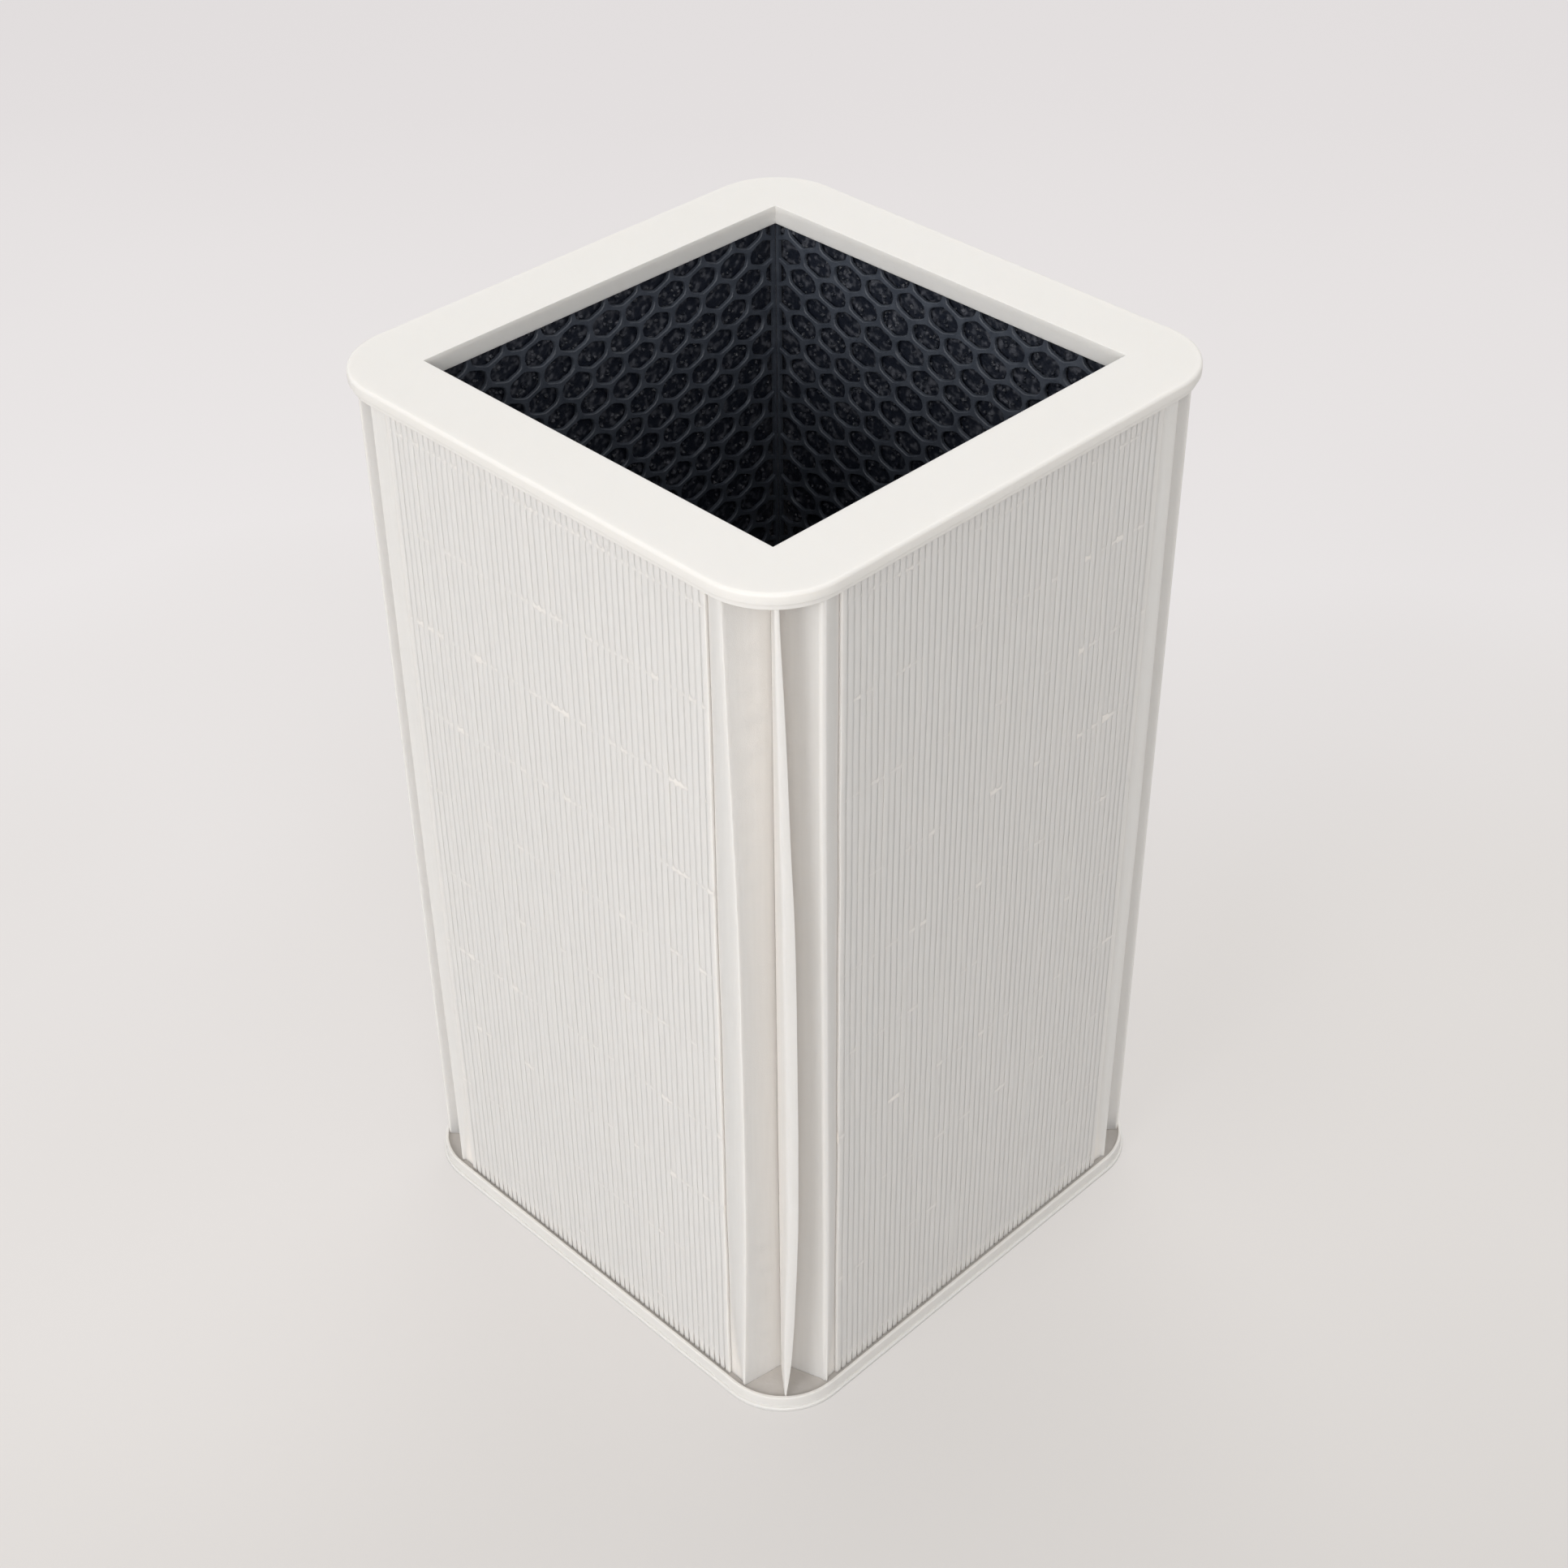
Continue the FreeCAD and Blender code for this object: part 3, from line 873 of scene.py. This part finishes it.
def hole_outline(grow):
    """Hole of the tile: its outline moved in by half a rib, with rounded corners, grown a little."""
    corners = [Vector(corner) for corner in tile_outline()]
    points = []
    for index, here in enumerate(corners):
        into = (here - corners[index - 1]).normalized()
        away = (corners[(index + 1) % len(corners)] - here).normalized()
        normals = [Vector((into.y, -into.x)), Vector((away.y, -away.x))]
        middle = (normals[0] + normals[1]).normalized()
        centre = here - middle * ((RIB_HALF + HOLE_ROUND) / middle.dot(normals[0]))
        for direction in (normals[0], middle, normals[1]):
            points.append(tuple(centre + direction * (HOLE_ROUND + grow)))
    return points


def ring(work, outline, y):
    """Closed ring of vertices and edges at depth y."""
    corners = [work.verts.new((u, y, z)) for u, z in outline]
    edges = [work.edges.new((a, b)) for a, b in zip(corners, corners[1:] + corners[:1])]
    return corners, edges


def make_tile():
    """Tile for the front panel, whose face looks along +Y, towards the core."""
    face_y = -GRID_INNER
    back_y = -GRID_OUTER
    work = bmesh.new()
    rings = [ring(work, hole_outline(LIP), face_y), ring(work, hole_outline(0.0), face_y - LIP),
             ring(work, hole_outline(0.0), back_y)]
    front_rim = ring(work, tile_outline(), face_y)
    back_rim = ring(work, tile_outline(), back_y)
    for near, far in zip(rings, rings[1:]):
        for index in range(len(near[0])):
            following = (index + 1) % len(near[0])
            work.faces.new((near[0][index], near[0][following], far[0][following], far[0][index]))
    bmesh.ops.triangle_fill(work, edges=front_rim[1] + rings[0][1], use_beauty=True)
    bmesh.ops.triangle_fill(work, edges=back_rim[1] + rings[2][1], use_beauty=True)
    mesh = bpy.data.meshes.new("honeycomb_tile")
    work.to_mesh(mesh)
    work.free()
    return mesh


TILE = make_tile()
print("one tile has", len(TILE.polygons), "faces")


# %% Honeycomb tree
CELL_ROWS = int((MEDIA_HIGH - MEDIA_LOW) / ROW_PITCH) + 3
CELL_COLUMNS = int(2 * PANEL_END / CELL_PITCH) + 3
FIRST_ROW_DEPTH = 8.6 * MM
RIB_BEND = 0.35 * MM
RIB_SCALE = 150.0
RIB_SEED = 3.0
SEAM_REACH = 0.05 * MM


def make_honeycomb_tree():
    """Repeats the tile object on the input points, merges the seams and bends the ribs."""
    tree, entry, leave = new_tree("honeycomb", [("Merge", SEAM_REACH), ("Bend", RIB_BEND),
                                                ("Seed", RIB_SEED)])
    tree.interface.new_socket("Tile", in_out="INPUT", socket_type="NodeSocketObject")
    nodes = tree.nodes
    tile = nodes.new("GeometryNodeObjectInfo")
    copies = nodes.new("GeometryNodeInstanceOnPoints")
    real = nodes.new("GeometryNodeRealizeInstances")
    merge = nodes.new("GeometryNodeMergeByDistance")
    noise = nodes.new("ShaderNodeTexNoise")
    noise.noise_dimensions = "4D"
    noise.inputs["Scale"].default_value = RIB_SCALE
    noise.inputs["Detail"].default_value = 1.0
    centred = nodes.new("ShaderNodeVectorMath")
    centred.operation = "SUBTRACT"
    centred.inputs[1].default_value = (0.5, 0.5, 0.5)
    flat = nodes.new("ShaderNodeVectorMath")
    flat.operation = "MULTIPLY"
    flat.inputs[1].default_value = (NOISE_SWING, 0.0, NOISE_SWING)
    size = nodes.new("ShaderNodeVectorMath")
    size.operation = "SCALE"
    move = nodes.new("GeometryNodeSetPosition")
    paint = nodes.new("GeometryNodeSetMaterial")
    chain(tree, entry, copies, real, merge, move, paint, leave)
    wire(tree, [
        (entry, "Tile", tile, "Object"), (tile, "Geometry", copies, "Instance"),
        (entry, "Merge", merge, "Distance"), (entry, "Seed", noise, "W"),
        (noise, "Color", centred, 0), (centred, "Vector", flat, 0), (flat, "Vector", size, 0),
        (entry, "Bend", size, "Scale"), (size, "Vector", move, "Offset"),
        (entry, "Material", paint, "Material")])
    return tree


HONEYCOMB_TREE = make_honeycomb_tree()


# %% Honeycomb panels
BORDER = 1.5 * MM
CUT_REACH = 1e-6


def cell_centres():
    """Points of the staggered grid, as a mesh without edges."""
    points = []
    for row in range(CELL_ROWS):
        z = HEIGHT - FIRST_ROW_DEPTH - (row - 1) * ROW_PITCH
        shift = CELL_PITCH / 2 if row % 2 else 0.0
        for column in range(CELL_COLUMNS):
            points.append(((column - CELL_COLUMNS // 2) * CELL_PITCH + shift, 0.0, z))
    return mesh_from("cell_centres", points, [], [])


def trim(mesh):
    """Cut the honeycomb to the inside of the border, and close the cuts."""
    work = bmesh.new()
    work.from_mesh(mesh)
    low = Vector((-PANEL_END + BORDER, 0, MEDIA_LOW + BORDER))
    high = Vector((PANEL_END - BORDER, 0, MEDIA_HIGH - BORDER))
    cuts = ((low, (-1, 0, 0)), (low, (0, 0, -1)), (high, (1, 0, 0)), (high, (0, 0, 1)))
    for place, outwards in cuts:
        everything = work.verts[:] + work.edges[:] + work.faces[:]
        cut = bmesh.ops.bisect_plane(work, geom=everything, plane_co=place, plane_no=outwards,
                                     clear_outer=True, dist=CUT_REACH)
        edges = [item for item in cut["geom_cut"] if isinstance(item, bmesh.types.BMEdge)]
        bmesh.ops.holes_fill(work, edges=[edge for edge in edges if edge.is_boundary])
    work.to_mesh(mesh)
    work.free()


def add_border(mesh):
    """Plain frame round the honeycomb, of the same thickness."""
    work = bmesh.new()
    work.from_mesh(mesh)
    wide = PANEL_END
    between = (MEDIA_LOW + BORDER, MEDIA_HIGH - BORDER)
    bars = [((-wide, wide), (MEDIA_LOW, MEDIA_LOW + BORDER)),
            ((-wide, wide), (MEDIA_HIGH - BORDER, MEDIA_HIGH)),
            ((-wide, -wide + BORDER), between), ((wide - BORDER, wide), between)]
    for (left, right), (low, high) in bars:
        middle = Vector(((left + right) / 2, -(GRID_INNER + GRID_OUTER) / 2, (low + high) / 2))
        shape = Matrix.Diagonal((right - left, GRID_THICK, high - low, 1.0))
        bmesh.ops.create_cube(work, size=1.0, matrix=Matrix.Translation(middle) @ shape)
    work.to_mesh(mesh)
    work.free()


def make_honeycomb(side):
    name = SIDES[side]
    tile = link("tile", TILE.copy())
    mesh = run_tree(HONEYCOMB_TREE, cell_centres(), {"Material": LATTICE, "Tile": tile,
                                                     "Seed": RIB_SEED + side})
    bpy.data.objects.remove(tile)
    trim(mesh)
    add_border(mesh)
    only_material(mesh, LATTICE)
    mesh.transform(side_turn(side))
    smooth_by_angle(mesh, degrees=40)
    piece = link("honeycomb_" + name, mesh)
    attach(piece, "root")
    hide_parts("carbon_lattice_" + name)
    return piece


for side in range(len(SIDES)):
    honeycomb = make_honeycomb(side)
print("one honeycomb panel has", len(honeycomb.data.polygons), "faces")

# %% [markdown]
# Behind the honeycomb lie carbon granules: small, rough and coal black. The few paler patches in their
# colour are painted glints, and their roughness follows the same patches. For each side one rough
# grain of twenty faces is scattered over the bed by Geometry Nodes, turned and sized at random. The
# bed itself is a slab with a lumpy finish, so that no gap between grains looks empty.

# %% Carbon finish
CARBON_DARK = (0.009, 0.012, 0.021)
# Colour of the painted glints on the granules
CARBON_PAINTED_GLINT = (0.075, 0.080, 0.098)


def make_carbon():
    material, tree, shader = new_material("carbon", CARBON_DARK, roughness=0.5)
    vector = object_coordinates(tree)
    # Patches of painted glint in the colour; the roughness follows the same patches
    painted_glint_patches = mottle_value(tree, vector, scale=330.0, detail=1.0)
    color_by(tree, shader, scaled(tree, painted_glint_patches, factor=5.0, offset=0.0), CARBON_DARK, CARBON_PAINTED_GLINT)
    tree.links.new(scaled(tree, painted_glint_patches, factor=0.6, offset=0.5), shader.inputs["Roughness"])
    lumps = mottle_value(tree, vector, scale=900.0, detail=3.0)
    add_bump(tree, shader, lumps, strength=0.6, distance=0.0006)
    return material


CARBON = make_carbon()

# %% Granule tree
GRAIN = 2.5 * MM
GRAIN_DENSITY = 0.075 / MM / MM
# Places of the sockets on a Random Value node, which share their names
VECTOR_LARGEST, FLOAT_SMALLEST, FLOAT_LARGEST = 1, 2, 3
VECTOR_RESULT, FLOAT_RESULT = 0, 1


def make_granule_tree():
    """Scatters the grain object over the input faces."""
    tree, entry, leave = new_tree("granules", [("Density", GRAIN_DENSITY), ("Smallest", 0.6),
                                               ("Largest", 1.25)])
    tree.interface.new_socket("Grain", in_out="INPUT", socket_type="NodeSocketObject")
    tree.interface.new_socket("Seed", in_out="INPUT", socket_type="NodeSocketInt")
    nodes = tree.nodes
    grain = nodes.new("GeometryNodeObjectInfo")
    scatter = nodes.new("GeometryNodeDistributePointsOnFaces")
    copies = nodes.new("GeometryNodeInstanceOnPoints")
    size = nodes.new("FunctionNodeRandomValue")
    tumble = nodes.new("FunctionNodeRandomValue")
    tumble.data_type = "FLOAT_VECTOR"
    tumble.inputs[VECTOR_LARGEST].default_value = (2 * math.pi, 2 * math.pi, 2 * math.pi)
    real = nodes.new("GeometryNodeRealizeInstances")
    paint = nodes.new("GeometryNodeSetMaterial")
    chain(tree, entry, scatter, copies, real, paint, leave)
    wire(tree, [
        (entry, "Grain", grain, "Object"), (entry, "Density", scatter, "Density"),
        (entry, "Seed", scatter, "Seed"), (grain, "Geometry", copies, "Instance"),
        (entry, "Smallest", size, FLOAT_SMALLEST), (entry, "Largest", size, FLOAT_LARGEST),
        (size, FLOAT_RESULT, copies, "Scale"), (tumble, VECTOR_RESULT, copies, "Rotation"),
        (entry, "Material", paint, "Material")])
    return tree


GRANULE_TREE = make_granule_tree()


# %% Granule beds
GRAIN_RADIUS = 0.42 * GRAIN
GRAIN_SEED = 11
# A corner of a grain is moved to the first share of its radius, plus up to the second
KNOCKED_IN = 0.8
KNOCKED_SPAN = 0.4
# The grains' middles lie in this plane behind the honeycomb, and the slab's face does too
BED_FACE = GRID_OUTER + GRAIN * 0.45


def make_grain():
    """Rough grain: a coarse ball, knocked out of shape at random."""
    work = bmesh.new()
    bmesh.ops.create_icosphere(work, subdivisions=1, radius=GRAIN_RADIUS)
    for corner in work.verts:
        corner.co *= KNOCKED_IN + KNOCKED_SPAN * rng.random()
    mesh = bpy.data.meshes.new("grain")
    work.to_mesh(mesh)
    work.free()
    return mesh


def bed_face():
    """The plane just behind the front panel's honeycomb, on which grains lie."""
    wide = PANEL_END - BORDER
    corners = ((-wide, MEDIA_LOW), (wide, MEDIA_LOW), (wide, MEDIA_HIGH), (-wide, MEDIA_HIGH))
    return mesh_from("bed_face", [(x, -BED_FACE, z) for x, z in corners], [], [(0, 1, 2, 3)])


def make_granules(side):
    name = SIDES[side]
    grain = link("grain", make_grain())
    mesh = run_tree(GRANULE_TREE, bed_face(), {"Material": CARBON, "Grain": grain,
                                               "Seed": GRAIN_SEED + side})
    bpy.data.objects.remove(grain)
    work = bmesh.new()
    work.from_mesh(mesh)
    middle = Vector((0, (-BED_FACE - BED_OUTER) / 2, (MEDIA_LOW + MEDIA_HIGH) / 2))
    shape = Matrix.Diagonal((2 * PANEL_END, BED_OUTER - BED_FACE, MEDIA_HIGH - MEDIA_LOW, 1.0))
    bmesh.ops.create_cube(work, size=1.0, matrix=Matrix.Translation(middle) @ shape)
    work.to_mesh(mesh)
    work.free()
    mesh.transform(side_turn(side))
    only_material(mesh, CARBON)
    piece = link("granules_" + name, mesh)
    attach(piece, "root")
    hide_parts("granule_bed_" + name)
    return piece


for side in range(len(SIDES)):
    granules = make_granules(side)
print("one bed has", len(granules.data.polygons), "faces")

# %% [markdown]
# A fine dark net keeps the granules off the sheet. It is hidden between the two, and gets a woven
# finish: two sets of threads that cross, made by two wave textures.

# %% Net finish
NET_DARK = (0.008, 0.009, 0.012)
NET_MIDDLE = (0.02, 0.022, 0.028)
NET_LIGHT = (0.03, 0.033, 0.042)
NET_SCALE = 300.0


def make_net():
    material, tree, shader = new_material("woven_net", NET_MIDDLE, roughness=0.7)
    vector = object_coordinates(tree)
    heights = []
    for direction in ("X", "Z"):
        wave = tree.nodes.new("ShaderNodeTexWave")
        wave.bands_direction = direction
        wave.inputs["Scale"].default_value = NET_SCALE
        tree.links.new(vector, wave.inputs["Vector"])
        heights.append(wave.outputs["Fac"])
    weave = tree.nodes.new("ShaderNodeMath")
    weave.operation = "MAXIMUM"
    tree.links.new(heights[0], weave.inputs[0])
    tree.links.new(heights[1], weave.inputs[1])
    color_by(tree, shader, weave.outputs[0], NET_DARK, NET_LIGHT)
    add_bump(tree, shader, weave.outputs[0], strength=0.6, distance=0.0003)
    return material


NET = make_net()
dress(["retaining_net_" + side for side in SIDES], NET)

# %% [markdown]
# The stage is a large pale floor under soft light. A wide lamp before the front face gives it more
# light than the right one. A second lamp near the camera opens the wells in the corner, a third one
# high at the back lights the top, and the bright surroundings fill the shadows. The floor and the
# surroundings look paler than the light that they give back to the filter. The floor's colour carries
# painted light: darker near the camera, brightest in a band beyond the filter, and softly patchy.

# %% Floor, world and lamps
FLOOR_BOUNCE = (0.46, 0.445, 0.43)
# The floor colours below are painted light falloff: darker near the camera, brightest in a band beyond
# the filter
FLOOR_NEAR = (0.665, 0.642, 0.622)
FLOOR_FAR = (0.785, 0.757, 0.762)
# Places of these two from near to far, and (place, colour) of those between them
FLOOR_ENDS = (0.2, 0.92)
FLOOR_BETWEEN = ((0.36, (0.75, 0.724, 0.706)), (0.55, (0.83, 0.806, 0.808)))
# Scale of the places on the floor, away from the camera, and the place under the filter
FLOOR_STRETCH = (-0.36, 0.36, 0.0)
FLOOR_START = 0.35
FLOOR_REACH = 6.0
# Share of the floor's look that is its plain colour, free of light and shadow
PLAIN_SHARE = 0.6
WORLD_COLOR = (1.0, 0.985, 0.965)
WORLD_LIGHT = 0.58
WORLD_SEEN = 0.8
# Places of a Mix node's sockets for colours, which share their names with the others
MIX_FACTOR, MIX_FIRST, MIX_SECOND, MIX_RESULT = 0, 6, 7, 2
LAMP_SIZE = 1.6
LAMP_COLOR = (1.0, 0.99, 0.98)
# Name, place and power of each lamp
LAMPS = (("key", (0.2, -2.6, 1.2), 27.5), ("front", (1.8, -1.5, 1.3), 18.5),
         ("top", (-0.7, 1.0, 2.6), 21.0))


def seen_directly(tree):
    """1 for rays that show a thing itself, directly or in gloss or glass, and 0 for its light."""
    path = tree.nodes.new("ShaderNodeLightPath")
    total = path.outputs["Is Camera Ray"]
    for label in ("Is Glossy Ray", "Is Transmission Ray"):
        node = tree.nodes.new("ShaderNodeMath")
        node.operation = "MAXIMUM"
        tree.links.new(total, node.inputs[0])
        tree.links.new(path.outputs[label], node.inputs[1])
        total = node.outputs[0]
    return total


def make_floor():
    material, tree, shader = new_material("pale_floor", FLOOR_NEAR, roughness=0.9)
    place = object_coordinates(tree, FLOOR_STRETCH)
    along = tree.nodes.new("ShaderNodeVectorMath")
    along.operation = "DOT_PRODUCT"
    along.inputs[1].default_value = (1.0, 1.0, 0.0)
    tree.links.new(place, along.inputs[0])
    # Painted light falloff over the floor, made softly patchy by a mottle
    cloud = mottle_value(tree, place, scale=3.0)
    depth = tree.nodes.new("ShaderNodeMath")
    tree.links.new(scaled(tree, along.outputs["Value"], 1.0, FLOOR_START), depth.inputs[0])
    tree.links.new(scaled(tree, cloud, factor=0.5, offset=0.0), depth.inputs[1])
    color = tinted(tree, depth.outputs[0], FLOOR_NEAR, FLOOR_FAR)
    stops = color.node.color_ramp.elements
    stops[0].position = FLOOR_ENDS[0]
    stops[1].position = FLOOR_ENDS[1]
    for place_between, between in FLOOR_BETWEEN:
        stops.new(place_between).color = (*between, 1.0)
    direct = seen_directly(tree)
    choice = tree.nodes.new("ShaderNodeMix")
    choice.data_type = "RGBA"
    choice.inputs[MIX_FIRST].default_value = (*FLOOR_BOUNCE, 1.0)
    tree.links.new(direct, choice.inputs[MIX_FACTOR])
    tree.links.new(color, choice.inputs[MIX_SECOND])
    tree.links.new(choice.outputs[MIX_RESULT], shader.inputs["Base Color"])
    plain = tree.nodes.new("ShaderNodeEmission")
    tree.links.new(color, plain.inputs["Color"])
    mix = tree.nodes.new("ShaderNodeMixShader")
    tree.links.new(scaled(tree, direct, PLAIN_SHARE, 0.0), mix.inputs["Fac"])
    tree.links.new(shader.outputs["BSDF"], mix.inputs[1])
    tree.links.new(plain.outputs["Emission"], mix.inputs[2])
    tree.links.new(mix.outputs["Shader"], tree.nodes["Material Output"].inputs["Surface"])
    corners = ((-1, -1), (1, -1), (1, 1), (-1, 1))
    mesh = mesh_from("floor", [(x * FLOOR_REACH, y * FLOOR_REACH, 0) for x, y in corners], [],
                     [(0, 1, 2, 3)])
    mesh.materials.append(material)
    return link("floor", mesh)


def make_lamp(name, place, power):
    """Wide round lamp that faces the middle of the filter."""
    data = bpy.data.lights.new(name, "AREA")
    data.shape = "DISK"
    data.size = LAMP_SIZE
    data.energy = power
    data.color = LAMP_COLOR
    lamp = bpy.data.objects.new(name, data)
    bpy.context.scene.collection.objects.link(lamp)
    lamp.location = place
    aim = Vector((0.0, 0.0, HEIGHT / 2))
    lamp.rotation_euler = (aim - Vector(place)).to_track_quat("-Z", "Y").to_euler()


floor = make_floor()
world = bpy.data.worlds.new("studio")
bpy.context.scene.world = world
world.use_nodes = True
surround = world.node_tree.nodes["Background"]
surround.inputs["Color"].default_value = (*WORLD_COLOR, 1.0)
seen = seen_directly(world.node_tree)
world.node_tree.links.new(scaled(world.node_tree, seen, WORLD_SEEN - WORLD_LIGHT, WORLD_LIGHT),
                          surround.inputs["Strength"])
for name, place, power in LAMPS:
    make_lamp(name, place, power)

# %% [markdown]
# Last, the colour view is set to Standard.

# %% Finish
bpy.context.scene.view_settings.view_transform = "Standard"
